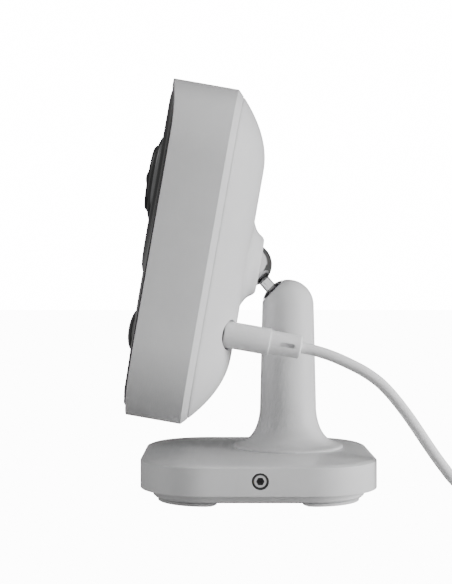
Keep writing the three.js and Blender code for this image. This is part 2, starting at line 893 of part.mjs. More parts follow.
function leadPieces() {
  const route = new THREE.CatmullRomCurve3(LEAD_ROUTE.map(([x, y, z]) => new THREE.Vector3(x, y, z)));
  const section = new THREE.Shape().absarc(0, 0, CORD_RADIUS, 0, 2 * Math.PI, false);
  const settings = { steps: 26, extrudePath: route, curveSegments: 8 };
  const lead = new THREE.Mesh(new THREE.ExtrudeGeometry(section, settings), LIGHT_GREY);
  lead.name = 'cord_lead';
  const coil = stoodTurned(
    [
      [COIL_OUTER, 1.5],
      [COIL_OUTER, COIL_TOP - 1.5],
      [COIL_OUTER - 1.5, COIL_TOP],
      [COIL_INNER + 1.5, COIL_TOP],
      [COIL_INNER, COIL_TOP - 1.5],
      [COIL_INNER, 1.5],
      [COIL_INNER + 1.5, 0.1],
      [COIL_OUTER - 1.5, 0.1],
      [COIL_OUTER, 1.5],
    ],
    36,
    COIL_SIDE,
    COIL_BACK,
  );
  return [lead, mesh('cord_coil', coil, LIGHT_GREY)];
}

// A strap over the coil, open at the table side, and the supply plug that lies on the coil.
function leadEnds() {
  const middle = COIL_BACK + (COIL_INNER + COIL_OUTER) / 2;
  const reach = COIL_OUTER - COIL_INNER + 2 * GAP + 1.4;
  const strapTop = COIL_TOP + 1;
  const strapFoot = 0.2;
  const outside = block(5, reach, strapTop - strapFoot, COIL_SIDE, middle, (strapTop + strapFoot) / 2);
  const inside = block(7, reach - 1.4, COIL_TOP + 2, COIL_SIDE, middle, (COIL_TOP + 2) / 2 - 2 + GAP);
  const plugHeight = COIL_TOP + GAP + 3.8;
  const plugBack = COIL_BACK + 3;
  return [
    mesh('cord_tie', outside.subtract(inside), BLACK),
    mesh('supply_plug_body', block(27, 15, 7.6, COIL_SIDE - 5.5, plugBack, plugHeight), LIGHT_GREY),
    mesh('supply_plug_shell', block(12, 12, 4.5, COIL_SIDE - 25.3, plugBack, plugHeight), SILVER),
  ];
}

// ---------------------------------------------------------------- assembly
const head = new THREE.Group();
head.position.set(0, BALL_BACK, BALL_HEIGHT);
head.rotation.x = THREE.MathUtils.degToRad(-HEAD_LEAN);
head.add(
  frontHousing(),
  frontPanel(),
  rearCover(),
  ...lensPieces(),
  ...nightVisionPieces(),
  ...motionPieces(),
  ...electronics(),
  ...socketPieces(),
  ...headScrews(),
  ...powerPieces(),
  ...linerPieces(),
);

const stand = new THREE.Group();
stand.add(
  baseShell(),
  ...baseInsides(),
  footPad('foot_front', -1),
  footPad('foot_rear', 1),
  pillar(),
  ballStud(),
  studCap(),
  ...pillarScrews(),
  ...lockPieces(),
);

const powerLead = new THREE.Group();
powerLead.add(...leadPieces(), ...leadEnds());

const camera = new THREE.Group();
camera.add(stand, head, powerLead);
export default camera;
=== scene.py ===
# Baby monitor camera on its stand. Metres, in the frame's axes: +Z up, the lens looks to -Y.
import json
import math

import bmesh
import bpy
import numpy as np
from mathutils import Matrix, Vector


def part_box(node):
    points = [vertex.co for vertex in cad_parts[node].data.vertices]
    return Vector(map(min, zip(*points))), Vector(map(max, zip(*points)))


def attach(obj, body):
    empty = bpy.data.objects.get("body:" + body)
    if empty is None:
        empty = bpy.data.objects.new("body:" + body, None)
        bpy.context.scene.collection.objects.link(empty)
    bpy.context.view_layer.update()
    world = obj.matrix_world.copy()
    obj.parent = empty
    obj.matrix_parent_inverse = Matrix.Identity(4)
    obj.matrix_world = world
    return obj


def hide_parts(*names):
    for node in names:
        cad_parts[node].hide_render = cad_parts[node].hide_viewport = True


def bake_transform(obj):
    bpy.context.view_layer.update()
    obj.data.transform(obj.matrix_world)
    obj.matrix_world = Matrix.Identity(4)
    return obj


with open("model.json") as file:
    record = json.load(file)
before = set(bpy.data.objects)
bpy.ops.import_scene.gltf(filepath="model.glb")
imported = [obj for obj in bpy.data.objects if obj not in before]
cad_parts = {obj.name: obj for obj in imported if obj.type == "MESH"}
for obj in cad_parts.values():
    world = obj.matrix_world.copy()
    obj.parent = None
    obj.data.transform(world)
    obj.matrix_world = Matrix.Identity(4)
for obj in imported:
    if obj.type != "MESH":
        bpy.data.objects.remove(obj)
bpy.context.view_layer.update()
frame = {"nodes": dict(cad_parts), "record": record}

MM = 0.001
RECORD = frame["record"]
JOINTS = {joint["name"]: joint for joint in RECORD["behaviour"]["joints"]}


# ---------------------------------------------------------------- places worked out from the frame
def centre_and_half(node):
    low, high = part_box(node)
    return (low + high) / 2, (high - low) / 2


BALL = Vector(JOINTS["head_tilt"]["pos_m"])
BACK = Vector(JOINTS["head_roll"]["axis"]).normalized()
SIDE = Vector((1, 0, 0))
UP = SIDE.cross(BACK)


def axes(x, along, across, origin):
    """A matrix from millimetres (x, along, across) to metres at origin."""
    made = Matrix.Identity(4)
    for column, axis in enumerate((x, along, across)):
        for row in range(3):
            made[row][column] = axis[row] * MM
    for row in range(3):
        made[row][3] = origin[row]
    return made


BASE_CENTRE, BASE_HALF = centre_and_half("base_shell")
PILLAR_CENTRE, _ = centre_and_half("pillar")
COIL_CENTRE, COIL_HALF = centre_and_half("cord_coil")
PLUG_CENTRE, PLUG_HALF = centre_and_half("supply_plug_body")
SHELL_CENTRE, SHELL_HALF = centre_and_half("supply_plug_shell")
TIE_CENTRE, TIE_HALF = centre_and_half("cord_tie")
LOCK_CENTRE = Vector(JOINTS["lock_screw_turn"]["pos_m"])

HEAD = axes(SIDE, BACK, UP, BALL)  # x, back, up from the ball centre
BASE = axes(SIDE, Vector((0, 0, 1)), Vector((0, 1, 0)), Vector((0, BASE_CENTRE.y, 0)))
PILLAR = axes(SIDE, Vector((0, 0, 1)), Vector((0, 1, 0)), Vector((0, PILLAR_CENTRE.y, 0)))
LOCK = axes(Vector((0, 1, 0)), SIDE, Vector((0, 0, 1)), Vector((0, LOCK_CENTRE.y, LOCK_CENTRE.z)))
NECK_ANGLE = math.radians(49)
NECK_AXIS = Vector((0, math.cos(NECK_ANGLE), -math.sin(NECK_ANGLE)))
NECK = axes(SIDE, NECK_AXIS, SIDE.cross(NECK_AXIS), BALL)
WORLD = axes(SIDE, Vector((0, 1, 0)), Vector((0, 0, 1)), Vector((0, 0, 0)))


# ---------------------------------------------------------------- camera
VIEW_PLACE = (0.400, -0.0070, 0.0661)
VIEW_TURN = (math.radians(90), 0, math.radians(90))  # level, along -X
VIEW_LENS = 73.8  # focal length and film width in millimetres
VIEW_FILM = 36


def make_camera():
    data = bpy.data.cameras.new("view_camera")
    data.lens = VIEW_LENS
    data.sensor_width = VIEW_FILM
    camera = bpy.data.objects.new("view_camera", data)
    camera.location = VIEW_PLACE
    camera.rotation_euler = VIEW_TURN
    bpy.context.collection.objects.link(camera)
    bpy.context.scene.camera = camera


make_camera()


# ---------------------------------------------------------------- materials
NOISE_RANGE = (0.3, 0.7)  # nearly all of a noise texture's values lie between these
COAT_ROUGHNESS = 0.04
GLOSS_PATCHES = 2.3  # how much smaller the patches of gloss are than those of colour


def ramp(tree, source, low, high):
    """Spreads a noise value between low and high."""
    spread = tree.nodes.new("ShaderNodeMapRange")
    spread.inputs["From Min"].default_value = NOISE_RANGE[0]
    spread.inputs["From Max"].default_value = NOISE_RANGE[1]
    spread.inputs["To Min"].default_value = low
    spread.inputs["To Max"].default_value = high
    tree.links.new(source, spread.inputs["Value"])
    return spread.outputs["Result"]


def noise(tree, scale, detail=3):
    """A noise value in object coordinates, in features per metre."""
    place = tree.nodes.new("ShaderNodeTexCoord").outputs["Object"]
    made = tree.nodes.new("ShaderNodeTexNoise")
    made.inputs["Scale"].default_value = scale
    made.inputs["Detail"].default_value = detail
    tree.links.new(place, made.inputs["Vector"])
    return made.outputs["Fac"]


def finish_material(
    name,
    colour,
    roughness,
    metallic=0.0,
    vary=0.02,
    rough_vary=0.04,
    patch=120,
    grain=3500,
    bump=0.06,
    depth=0.00004,
    coat=0.0,
):
    """A moulded, cast or plated surface: slow changes of colour and gloss, and fine relief."""
    made = bpy.data.materials.new(name)
    made.use_nodes = True
    tree = made.node_tree
    shader = tree.nodes["Principled BSDF"]
    shader.inputs["Metallic"].default_value = metallic
    if coat:
        shader.inputs["Coat Weight"].default_value = coat
        shader.inputs["Coat Roughness"].default_value = COAT_ROUGHNESS
    mix = tree.nodes.new("ShaderNodeMix")
    mix.data_type = "RGBA"
    tree.links.new(ramp(tree, noise(tree, patch), 0, 1), mix.inputs["Factor"])
    darker = [max(0.0, c * (1 - vary)) for c in colour]
    lighter = [min(1.0, c * (1 + vary)) for c in colour]
    mix.inputs["A"].default_value = (*darker, 1)
    mix.inputs["B"].default_value = (*lighter, 1)
    tree.links.new(mix.outputs["Result"], shader.inputs["Base Color"])
    smoother, rougher = roughness - rough_vary / 2, roughness + rough_vary / 2
    gloss = ramp(tree, noise(tree, patch * GLOSS_PATCHES), smoother, rougher)
    tree.links.new(gloss, shader.inputs["Roughness"])
    relief = tree.nodes.new("ShaderNodeBump")
    relief.inputs["Strength"].default_value = bump
    relief.inputs["Distance"].default_value = depth
    tree.links.new(noise(tree, grain, 2), relief.inputs["Height"])
    tree.links.new(relief.outputs["Normal"], shader.inputs["Normal"])
    return made


def grey(value):
    """A grey that is very slightly blue."""
    return (value, value, value * 1.01)


# For each material: colour, roughness, and what else differs from a plain moulded surface.
LOOKS = {
    "white_plastic": (grey(0.70), 0.3, dict(bump=0.2, grain=2600)),
    "grey_plastic": (grey(0.88), 0.4, dict(bump=0.25, grain=2600)),
    "piano_black": (grey(0.012), 0.06, dict(rough_vary=0.02, bump=0.02, coat=1.0)),
    "black_plastic": (grey(0.014), 0.34, dict(bump=0.3)),
    "gloss_black": (grey(0.01), 0.12, dict(rough_vary=0.04, bump=0.05, coat=0.6)),
    "pale_rubber": (grey(0.6), 0.6, dict(bump=0.4, vary=0.05, rough_vary=0.1)),
    "black_rubber": (grey(0.022), 0.62, dict(bump=0.5, vary=0.12, rough_vary=0.12)),
    "nylon": ((0.72, 0.70, 0.62), 0.4, dict(bump=0.2)),
    "silver_trim": (grey(0.58), 0.2, dict(metallic=1, bump=0.08)),
    "smoked_trim": (grey(0.1), 0.28, dict(metallic=1, bump=0.06)),
    "polished_steel": (grey(0.86), 0.05, dict(metallic=1, rough_vary=0.03, bump=0.015)),
    "bright_steel": (grey(0.5), 0.36, dict(metallic=1, bump=0.2)),
    # painted shade: a darker copy of steel, put in the lock screw's key hole to stand for the shade inside
    # it
    "painted_shade_steel": (grey(0.3), 0.5, dict(metallic=1, bump=0.2)),
    "steel": (grey(0.42), 0.34, dict(metallic=1, vary=0.08, rough_vary=0.14, bump=0.3)),
    "brass": ((0.55, 0.38, 0.15), 0.3, dict(metallic=1, vary=0.08, bump=0.2)),
    "aluminium": (grey(0.6), 0.42, dict(metallic=1, bump=0.3)),
    "circuit_board": ((0.012, 0.1, 0.05), 0.35, dict(vary=0.3, patch=700, bump=0.3)),
    "dark_glass": ((0.006, 0.007, 0.012), 0.03, dict(rough_vary=0.01, bump=0.01, coat=1.0)),
}
FINISHES = {name: finish_material(name, tint, rough, **more) for name, (tint, rough, more) in LOOKS.items()}


# ---------------------------------------------------------------- meshes from rings of points
ARC_STEPS = 22
STRAIGHT_STEPS = 18
ROUND_STEPS = 96
SHARPEST = 0.6  # smallest corner radius of a ring
MERGE = 2e-7  # points nearer than this, in metres, are one


def rounded_rectangle(half_x, half_z, corner):
    """Points once round a rounded rectangle, as many for every size."""
    points = []
    quarters = [(1, 1, 90), (1, -1, 0), (-1, -1, -90), (-1, 1, 180)]
    for number, (side_x, side_z, start) in enumerate(quarters):
        middle = np.array([side_x * (half_x - corner), side_z * (half_z - corner)])
        for i in range(ARC_STEPS + 1):
            angle = math.radians(start - 90 * i / ARC_STEPS)
            points.append(middle + corner * np.array([math.cos(angle), math.sin(angle)]))
        next_x, next_z, next_start = quarters[(number + 1) % 4]
        angle = math.radians(next_start)
        target = np.array([next_x * (half_x - corner), next_z * (half_z - corner)])
        target = target + corner * np.array([math.cos(angle), math.sin(angle)])
        leaving = points[-1]
        for i in range(1, STRAIGHT_STEPS):
            points.append(leaving + (target - leaving) * i / STRAIGHT_STEPS)
    return np.array(points)


def boxy_ring(half, corner, inset, along, middle=0.0):
    """One ring (x, along, across) of a rounded rectangular body, moved in by inset."""
    sharpest = min(SHARPEST, half[0] - inset)
    flat = rounded_rectangle(half[0] - inset, half[1] - inset, max(corner - inset, sharpest))
    return np.column_stack([flat[:, 0], np.full(len(flat), along), flat[:, 1] + middle])


def finer(ring, times=3):
    """The same ring with more points between every two."""
    towards = np.roll(ring, -1, axis=0) - ring
    shares = np.arange(times)[None, :, None] / times
    return (ring[:, None] + towards[:, None] * shares).reshape(-1, 3)


def round_ring(radius, along, x=0.0, across=0.0, angles=None):
    """One round ring (x, along, across), with a point at each angle."""
    if angles is None:
        angles = np.linspace(0, 2 * math.pi, ROUND_STEPS, endpoint=False)
    return np.column_stack(
        [x + radius * np.cos(angles), np.full(len(angles), along), across + radius * np.sin(angles)]
    )


def tip(along, x=0.0, across=0.0):
    """A ring of one point, which closes a skin."""
    return np.array([[x, along, across]])


def outline(points, closed=False, steps=5):
    """The points of a profile whose corners are rounded: each is (a, b) or (a, b, radius)."""
    made = []
    count = len(points)
    for i, point in enumerate(points):
        radius = point[2] if len(point) > 2 else 0
        at_end = not closed and i in (0, count - 1)
        here = np.array(point[:2], float)
        if radius <= 0 or at_end:
            made.append(tuple(here))
            continue
        before = np.array(points[i - 1][:2], float) - here
        after = np.array(points[(i + 1) % count][:2], float) - here
        reach = min(radius, 0.48 * np.linalg.norm(before), 0.48 * np.linalg.norm(after))
        first = here + before / np.linalg.norm(before) * reach
        last = here + after / np.linalg.norm(after) * reach
        for k in range(steps + 1):
            t = k / steps
            made.append(tuple((1 - t) ** 2 * first + 2 * t * (1 - t) * here + t * t * last))
    return made


def skin(name, rings, place, closed=False, sharp=34):
    """A smooth mesh over rings of points; a ring of one point is a tip."""
    mesh = bpy.data.meshes.new(name)
    body = bmesh.new()
    made = [[body.verts.new(place @ Vector(point)) for point in ring] for ring in rings]
    pairs = list(zip(made, made[1:]))
    if closed:
        pairs.append((made[-1], made[0]))
    for one, two in pairs:
        count = max(len(one), len(two))
        for i in range(count):
            j = (i + 1) % count
            if len(one) == 1:
                corners = (one[0], two[j], two[i])
            elif len(two) == 1:
                corners = (one[i], one[j], two[0])
            else:
                corners = (one[i], one[j], two[j], two[i])
            body.faces.new(corners)
    bmesh.ops.remove_doubles(body, verts=body.verts, dist=MERGE)
    bmesh.ops.recalc_face_normals(body, faces=body.faces)
    return finish_mesh(mesh, body, sharp)


def finish_mesh(mesh, body, sharp=34):
    """An object of the mesh, smooth but for edges sharper than an angle in degrees."""
    body.to_mesh(mesh)
    body.free()
    mesh.polygons.foreach_set("use_smooth", [True] * len(mesh.polygons))
    mesh.set_sharp_from_angle(angle=math.radians(sharp))
    made = bpy.data.objects.new(mesh.name, mesh)
    bpy.context.collection.objects.link(made)
    return made


def turned(name, profile, place, x=0.0, across=0.0, closed=False, sharp=34):
    """A turned piece from (radius, along) points; a radius of nothing is a tip."""
    rings = [
        tip(along, x, across) if radius < 1e-6 else round_ring(radius, along, x, across)
        for radius, along in profile
    ]
    return skin(name, rings, place, closed, sharp)


def cut(piece, cutters, sharp=34):
    """Cuts each cutter out of the piece and removes the cutters."""
    for cutter in cutters:
        boolean = piece.modifiers.new("cut", "BOOLEAN")
        boolean.operation = "DIFFERENCE"
        boolean.solver = "EXACT"
        boolean.object = cutter
    graph = bpy.context.evaluated_depsgraph_get()
    made = bpy.data.meshes.new_from_object(piece.evaluated_get(graph))
    piece.modifiers.clear()
    old = piece.data
    piece.data = made
    made.name = piece.name
    bpy.data.meshes.remove(old)
    for cutter in cutters:
        bpy.data.objects.remove(cutter)
    made.polygons.foreach_set("use_smooth", [True] * len(made.polygons))
    made.set_sharp_from_angle(angle=math.radians(sharp))
    return piece


def rounded_edges(piece, width, segments=3, angle=30):
    """Rounds the piece's sharp edges by a width in millimetres."""
    bevel = piece.modifiers.new("edges", "BEVEL")
    bevel.width = width * MM
    bevel.segments = segments
    bevel.limit_method = "ANGLE"
    bevel.angle_limit = math.radians(angle)
    bevel.harden_normals = False
    return piece


def add(piece, slot, body, *nodes, ride=True, finish=None):
    """Gives the piece its material, its body and the CAD nodes it stands for."""
    piece.data.materials.clear()
    piece.data.materials.append(FINISHES[finish or slot])
    if ride:
        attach(piece, body)
    if nodes:
        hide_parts(*nodes)
    return piece


# ---------------------------------------------------------------- power lead
CORD = 3.5  # diameter
LEAD_ROUTE = [  # millimetres, from the boot down to the table and on to the coil
    (27, 16.6, 48.8),
    (27, 21.2, 47.7),
    (27, 26.1, 46.1),
    (27, 31.1, 43.9),
    (27, 36.1, 41.3),
    (27, 40.4, 38.3),
    (27, 43.5, 35.3),
    (27, 46.4, 31.9),
    (27, 49.3, 28.1),
    (27, 52.1, 24.1),
    (27, 54.9, 19.9),
    (27, 57.7, 15.8),
    (27, 60.6, 11.8),
    (27, 63.6, 8),
    (27, 67.1, 4.8),
    (27.2, 71.5, 2.7),
    (27.5, 77.5, 1.85),
    (27.8, 84, 1.8),
    (28, 90, 1.8),
    (28, 95.8, 1.8),
]
FIRST_END = 5  # route points where one stretch of the lead hands over to the next
SECOND_END = 12
TILT_END = 11  # below this route point the lead doesn't follow the tilt
LAYER_RISE = 3.03
CROSSING = 70  # degrees of each turn in which the cord moves to the next lane
TURN_STEP = 8  # degrees between the points of a turn
LAST_TURN = 320  # degrees of the last turn, which ends in a climb onto the others
CLIMB_FROM = 275
CLIMB_OVER = 50
CLIMB = 3.4
PLUG_BEND = 9.0  # radius of the bend that leads into the plug
BEND_FROM = -30
BEND_STEP = 12


def between(points, steps=4):
    """A smooth curve through the points."""
    points = [np.array(p, float) for p in points]
    ends = [2 * points[0] - points[1], *points, 2 * points[-1] - points[-2]]
    made = []
    for a, b, c, d in zip(ends, ends[1:], ends[2:], ends[3:]):
        for k in range(steps):
            t = k / steps
            made.append(
                0.5
                * (
                    2 * b
                    + (c - a) * t
                    + (2 * a - 5 * b + 4 * c - d) * t**2
                    + (3 * b - a - 3 * c + d) * t**3
                )
            )
    return [*made, points[-1]]


def coil_route():
    """Every turn of the spare lead, in layers of four and three, and the way up to the plug."""
    centre = np.array(COIL_CENTRE) / MM
    outermost = COIL_HALF.x / MM - CORD / 2
    four = [outermost - i * CORD for i in range(4)]
    three = [radius - CORD / 2 for radius in four[:3]]
    lanes = []
    for layer, radii in enumerate((four, three[::-1], four, three[:0:-1])):
        height = CORD / 2 + 0.05 + layer * LAYER_RISE
        lanes += [(radius, height) for radius in radii]
    points = []
    for number, (radius, height) in enumerate(lanes):
        last = number == len(lanes) - 1
        next_radius, next_height = lanes[min(number + 1, len(lanes) - 1)]
        for degree in range(0, LAST_TURN if last else 360, TURN_STEP):
            t = max(0.0, (degree - 360 + CROSSING) / CROSSING)
            t = t * t * (3 - 2 * t)
            angle = math.radians(degree)
            r = radius + (next_radius - radius) * t
            lift = height + (next_height - height) * t
            if last:
                climb = min(1.0, max(0.0, (degree - CLIMB_FROM) / CLIMB_OVER))
                lift += CLIMB * climb * climb * (3 - 2 * climb)
            points.append((centre[0] + r * math.cos(angle), centre[1] + r * math.sin(angle), lift))
    plug_end = np.array([(PLUG_CENTRE.x + PLUG_HALF.x) / MM, PLUG_CENTRE.y / MM, PLUG_CENTRE.z / MM])
    middle = plug_end + np.array([0, -PLUG_BEND, 0])
    start_height = points[-1][2]
    for degree in range(BEND_FROM, 91, BEND_STEP):
        angle = math.radians(degree)
        t = (degree - BEND_FROM + BEND_STEP) / (90 - BEND_FROM + BEND_STEP)
        lift = start_height + (plug_end[2] - start_height) * t * t * (3 - 2 * t)
        x = middle[0] + PLUG_BEND * math.cos(angle)
        y = middle[1] + PLUG_BEND * math.sin(angle)
        points.append((x, y, lift))
    points.append(tuple(plug_end + np.array([-3, 0, 0])))
    return points


def tube(name, path, radius, sides=16):
    """A mesh tube of rings round the path, closed at both ends."""
    path = [np.array(p, float) for p in path]
    steps = [path[min(i + 1, len(path) - 1)] - path[max(i - 1, 0)] for i in range(len(path))]
    tangents = [step / np.linalg.norm(step) for step in steps]
    across = np.cross(tangents[0], np.array([0.0, 0.0, 1.0]))
    across /= np.linalg.norm(across)
    rings = [np.array([path[0]])]
    for point, tangent in zip(path, tangents):
        across = across - tangent * np.dot(across, tangent)
        across /= np.linalg.norm(across)
        other = np.cross(tangent, across)
        angles = np.linspace(0, 2 * math.pi, sides, endpoint=False)
        ring = [point + radius * (math.cos(a) * across + math.sin(a) * other) for a in angles]
        rings.append(np.array(ring))
    rings.append(np.array([path[-1]]))
    return skin(name, rings, WORLD)


def path_length(path):
    """The length in metres of a path in millimetres."""
    steps = (np.array(b) - np.array(a) for a, b in zip(path, path[1:]))
    return sum(float(np.linalg.norm(step)) for step in steps) * MM


PLUG_CORNER = 2.6
PLUG_NOSE = 5  # length of the rounded end towards the shell
RIB_COUNT = 5
RIB_FIRST = -4
RIB_STEP = 3.2
RIB_RADIUS = 0.55
RIB_HALF = 4.5
SHELL_CORNER = 0.7
SHELL_WALL = 0.35
SHELL_FLOOR = 3  # how far the shell's hollow stops short of its inner end
SHELL_TUCK = 0.2  # how far the shell reaches into the body
WINDOW_SIDE = 2.6
WINDOW_HALF = 1.1
TONGUE_DROP = -0.7
TONGUE_SIZE = (0.75, 4.6)


def make_plug():
    """The supply plug: a moulded body with grip grooves, and a plated shell with two windows."""
    half = PLUG_HALF / MM
    local = axes(Vector((0, 0, 1)), SIDE, Vector((0, 1, 0)), PLUG_CENTRE)
    profile = outline([(0.0, -half.x, 0), (0.0, half.x - PLUG_NOSE, 2.5), (1.5, half.x, 1.2)])
    size = (half.z, half.y)
    sections = [(0.5, -half.x), *profile[1:]]
    rings = [boxy_ring(size, PLUG_CORNER, inset, along) for inset, along in sections]
    body = skin("plug_moulding", [tip(-half.x), *rings, tip(half.x)], local)
    across_plug = axes(Vector((0, 0, 1)), Vector((0, 1, 0)), SIDE, PLUG_CENTRE)
    grooves = []
    for i in range(RIB_COUNT):
        for side in (-1, 1):
            place = (side * (half.z + 0.2), RIB_FIRST + RIB_STEP * i)
            ends = [round_ring(RIB_RADIUS, y, *place) for y in (-RIB_HALF, RIB_HALF)]
            rings = [tip(-RIB_HALF, *place), *ends, tip(RIB_HALF, *place)]
            grooves.append(skin("rib", rings, across_plug))
    cut(body, grooves)
    reach, *shell_size = SHELL_HALF / MM
    shell_size = shell_size[::-1]
    shell_local = axes(Vector((0, 0, 1)), SIDE, Vector((0, 1, 0)), SHELL_CENTRE)
    sections = [
        (0, reach + SHELL_TUCK),
        (0, -reach + 0.2),
        (0.15, -reach),
        (SHELL_WALL, -reach),
        (SHELL_WALL, reach - SHELL_FLOOR),
    ]
    rings = [boxy_ring(shell_size, SHELL_CORNER, inset, along) for inset, along in sections]
    rings = [tip(reach + SHELL_TUCK), *rings, tip(reach - SHELL_FLOOR)]
    shell = skin("plug_plating", rings, shell_local)
    windows = []
    square = np.array([(-1, -1), (-1, 1), (1, 1), (1, -1)]) * WINDOW_HALF
    for y in (-WINDOW_SIDE, WINDOW_SIDE):
        window = [np.array([(x, a, y + b) for a, b in square]) for x in (0.9, 3.4)]
        windows.append(skin("window", [tip_at(window[0]), *window, tip_at(window[1])], shell_local))
    cut(shell, windows)
    sections = [(0.2, -reach + 0.6), (0, -reach + 0.8), (0, reach - 2)]
    lower = np.array([TONGUE_DROP, 0, 0])
    rings = [boxy_ring(TONGUE_SIZE, 0.3, inset, along) + lower for inset, along in sections]
    rings = [tip(sections[0][1], TONGUE_DROP), *rings, tip(sections[-1][1], TONGUE_DROP)]
    tongue = skin("plug_tongue", rings, shell_local)
    add(body, "grey_plastic", "stand", "supply_plug_body")
    add(shell, "silver_trim", "stand", "supply_plug_shell")
    add(tongue, "black_plastic", "stand")
    return [body, shell, tongue]


def tip_at(ring):
    """The middle of a ring, as a ring of one point."""
    return np.array([ring.mean(axis=0)])


STRAP_HALF = 0.3  # half its thickness
STRAP_IN = 0.35  # how far its middle line lies inside the tie's box
STRAP_BEND = 1.5
STRAP_SHOULDER = 9.05  # height at which it leans in over the coil


def make_tie():
    """A strap drawn round the coil, with its ends tucked in under the edges."""
    half = TIE_HALF / MM
    top = (TIE_CENTRE.z + TIE_HALF.z) / MM - STRAP_IN
    middle = TIE_CENTRE.y / MM
    reach = half.y - STRAP_IN
    line = [
        (-reach + 1.6, STRAP_IN),
        (-reach, STRAP_IN, STRAP_BEND),
        (-reach, STRAP_SHOULDER, STRAP_BEND),
        (-reach + 2.2, top, STRAP_BEND),
        (reach - 5.6, top, STRAP_BEND),
        (reach, STRAP_SHOULDER, STRAP_BEND),
        (reach, STRAP_IN, STRAP_BEND),
        (reach - 1.6, STRAP_IN),
    ]
    path = outline(line, steps=6)
    rings = []
    for i, point in enumerate(path):
        here = np.array(point)
        step = np.array(path[min(i + 1, len(path) - 1)]) - np.array(path[max(i - 1, 0)])
        step /= np.linalg.norm(step)
        normal = np.array([-step[1], step[0]])
        x = TIE_CENTRE.x / MM
        corners = []
        for side, out in ((-1, -1), (1, -1), (1, 1), (-1, 1)):
            place = here + normal * STRAP_HALF * out
            corners.append((x + side * half.x, middle + place[0], max(0.02, place[1])))
        rings.append(np.array(corners))
    strap = skin("strap", [tip_at(rings[0]), *rings, tip_at(rings[-1])], WORLD)
    rounded_edges(strap, 0.12, 2, 40)
    return add(strap, "black_plastic", "stand", "cord_tie")


def make_lead(boot):
    """The lead in three stretches, each listed with the ball joint's bodies above and below it, and its
    coil and plug.
    """
    plug = make_plug()
    tie = make_tie()
    whole = between(LEAD_ROUTE)
    moulded_in = 2 * whole[0] - whole[4]
    first = [moulded_in, *whole[: 4 * FIRST_END + 1]]
    second = whole[4 * FIRST_END : 4 * SECOND_END + 1]
    third = [*whole[4 * SECOND_END :], *coil_route()]
    stretches = [
        ("lead_at_head", first, "head", "tilter", first[0], first[-1], "object", [boot]),
        ("lead_falling", second, "tilter", "swivel", second[0], whole[4 * TILT_END], "object", []),
        ("lead_and_coil", third, "swivel", "stand", third[0], LEAD_ROUTE[-1], "plug", [*plug, tie]),
    ]
    for name, path, above, below, start, end, far_end, others in stretches:
        piece = tube(name, path, CORD / 2)
        add(piece, "grey_plastic", None, "cord_lead", ride=False)
        if far_end == "plug":
            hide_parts("cord_coil")
        path_length(path)
        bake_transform(piece)


# ---------------------------------------------------------------- camera head
# Millimetres from the ball's centre: along the head towards its back, and up it.
HEAD_HALF = (42.0, 54.1)
HEAD_CORNER = 25.0
HEAD_MIDDLE = -0.4
LIP = -31.0  # the housing's front edge
RIM = -13.4  # its rear edge
WALL = 2.2
LEDGE = -29.0  # the step in the housing that carries the front panel
LEDGE_DEEP = 4.6
REAR_RISE = 12.2
REAR_RUN = 24.0
BAND = 1.9
GROOVE = 0.42
LIP_CROWN = 4.5
LEDGE_CROWN = 2.7
CROWN_FROM = 22  # the housing's front edge swells between these heights
CROWN_TO = 52
PANEL_FRONT = -31.3
PANEL_BACK = -29.3
PANEL_INSET = 1.9
PANEL_STEP = 0.6
PANEL_CROWN = 3.0
PANEL_SINK = 0.55
DISC_RAISE = 1.1
DISC_EDGE = 3.5
LENS_UP = 22.7
LENS_DISC = 33.0
LENS_HOLE = 14.5
GLASS_RADIUS = 4.4
GLASS_CROWN = 4.0
MOTION_UP = -28.0
MOTION_HOLE = 7.4
DOME_RADIUS = 7.1
DOME_CROWN = 2.5
DOME_WALL = 1.0
JACK_SIDE = 27.0
JACK_UP = -23.4
JACK_HOLE = 4.8
BOOT_RADIUS = 4.2
BOOT_STEP = 9.6
BOOT_END = 19.5
SLOT_FIRST = 13.6
SLOT_LAST = 16.9
SLOT_RADIUS = 0.65
SLOT_DEPTHS = (2.0, 4.6)  # from the boot's axis


def smooth(low, high, value):
    """A smooth step from 0 at low to 1 at high."""
    t = np.clip((value - low) / (high - low), 0, 1)
    return t * t * (3 - 2 * t)


def rear_curve(inset):
    """How far back the crowned rear cover stands, at a distance in from the head's side."""
    return RIM + REAR_RISE * (1 - (1 - min(inset, REAR_RUN) / REAR_RUN) ** 2)


def lip_swell(ring):
    """Swells the top of the housing's front edge, and of the ledge behind it, to the front."""
    along = ring[0, 1]
    if along > LEDGE + 1:
        return ring
    local_up = ring[:, 2] - HEAD_MIDDLE
    crown = LEDGE_CROWN if along > LEDGE - 1 else LIP_CROWN
    across = 1 - (ring[:, 0] / HEAD_HALF[0]) ** 2
    ring[:, 1] -= crown * across * smooth(CROWN_FROM, CROWN_TO, local_up)
    return ring


def panel_swell(ring):
    """Crowns the panel, flatter towards its lower edge, and raises the disc around the lens."""
    x, up = ring[:, 0], ring[:, 2] - HEAD_MIDDLE
    across = 1 - (x / (HEAD_HALF[0] - 1)) ** 2
    ending = 1 - 0.35 * smooth(15, 48, -up) - 0.55 * smooth(49, 52.4, -up)
    disc = 1 - smooth(LENS_DISC - DISC_EDGE, LENS_DISC, np.hypot(x, ring[:, 2] - LENS_UP))
    sunk = PANEL_SINK * smooth(44, 50, -up) * (ring[:, 1] < -30)
    ring[:, 1] += sunk - PANEL_CROWN * across * ending - DISC_RAISE * disc
    return ring


def head_ring(inset, along):
    """One ring of the head's outline, moved in by inset."""
    return boxy_ring(HEAD_HALF, HEAD_CORNER, inset, along, HEAD_MIDDLE)


